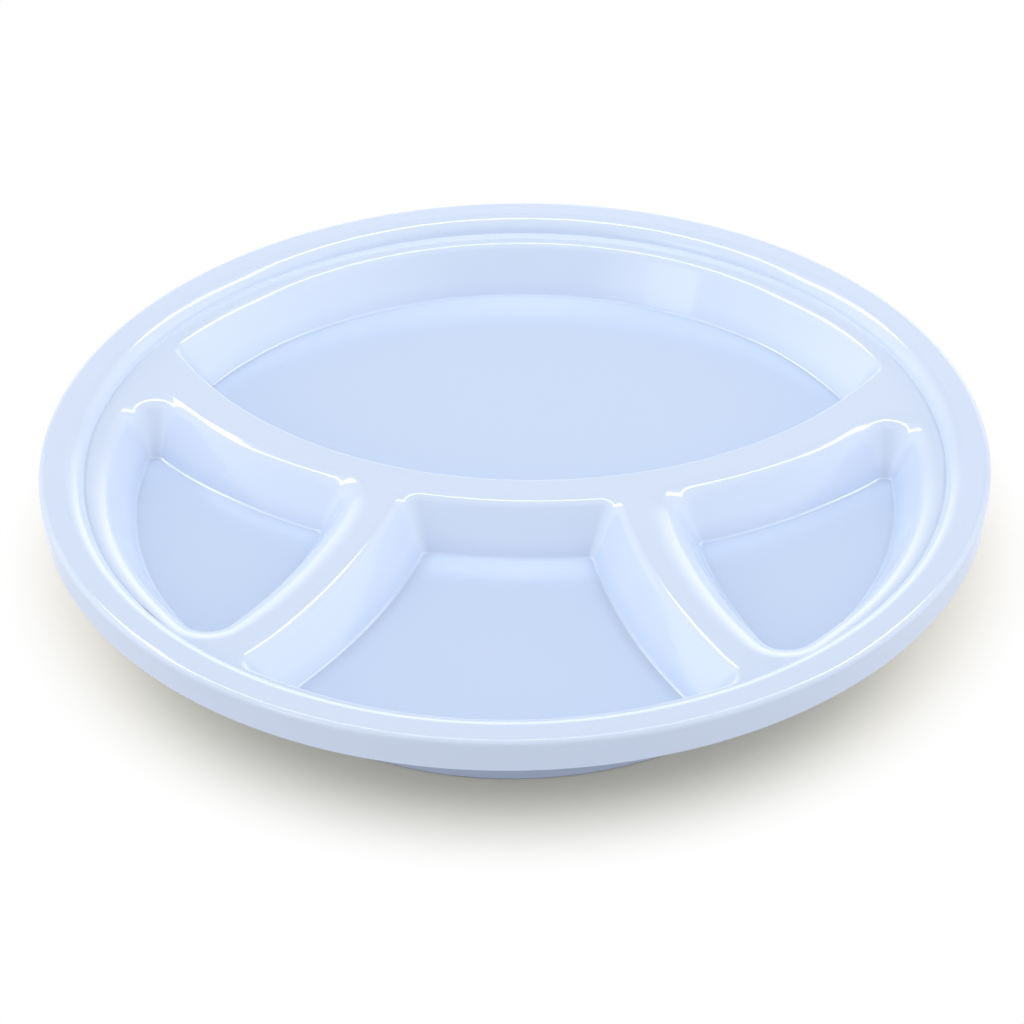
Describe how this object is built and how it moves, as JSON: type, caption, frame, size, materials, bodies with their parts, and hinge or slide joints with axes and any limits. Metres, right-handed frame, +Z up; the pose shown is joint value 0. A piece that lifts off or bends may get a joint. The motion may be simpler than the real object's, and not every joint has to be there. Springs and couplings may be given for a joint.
{
  "type": "compartment dish",
  "caption": "Round moulded serving dish with a wide rim, a large lens-shaped well, small wells in front of a curved divider, and a conical base on a foot ring.",
  "frame": {"origin": "on the table, under the middle of the dish", "axes": "+Z up, +Y from the centre well to the large well, +X to the right seen from the centre well's side"},
  "size_m": [0.2604, 0.2604, 0.0475],
  "materials": {
    "tray_plastic": "glossy moulded",
    "base_plastic": "glossy moulded"
  },
  "bodies": {
    "root": {"rim": "tray_plastic", "deck": "tray_plastic", "large_well": "tray_plastic", "left_well": "tray_plastic", "centre_well": "tray_plastic", "right_well": "tray_plastic", "base": "base_plastic"}
  },
  "joints": []
}
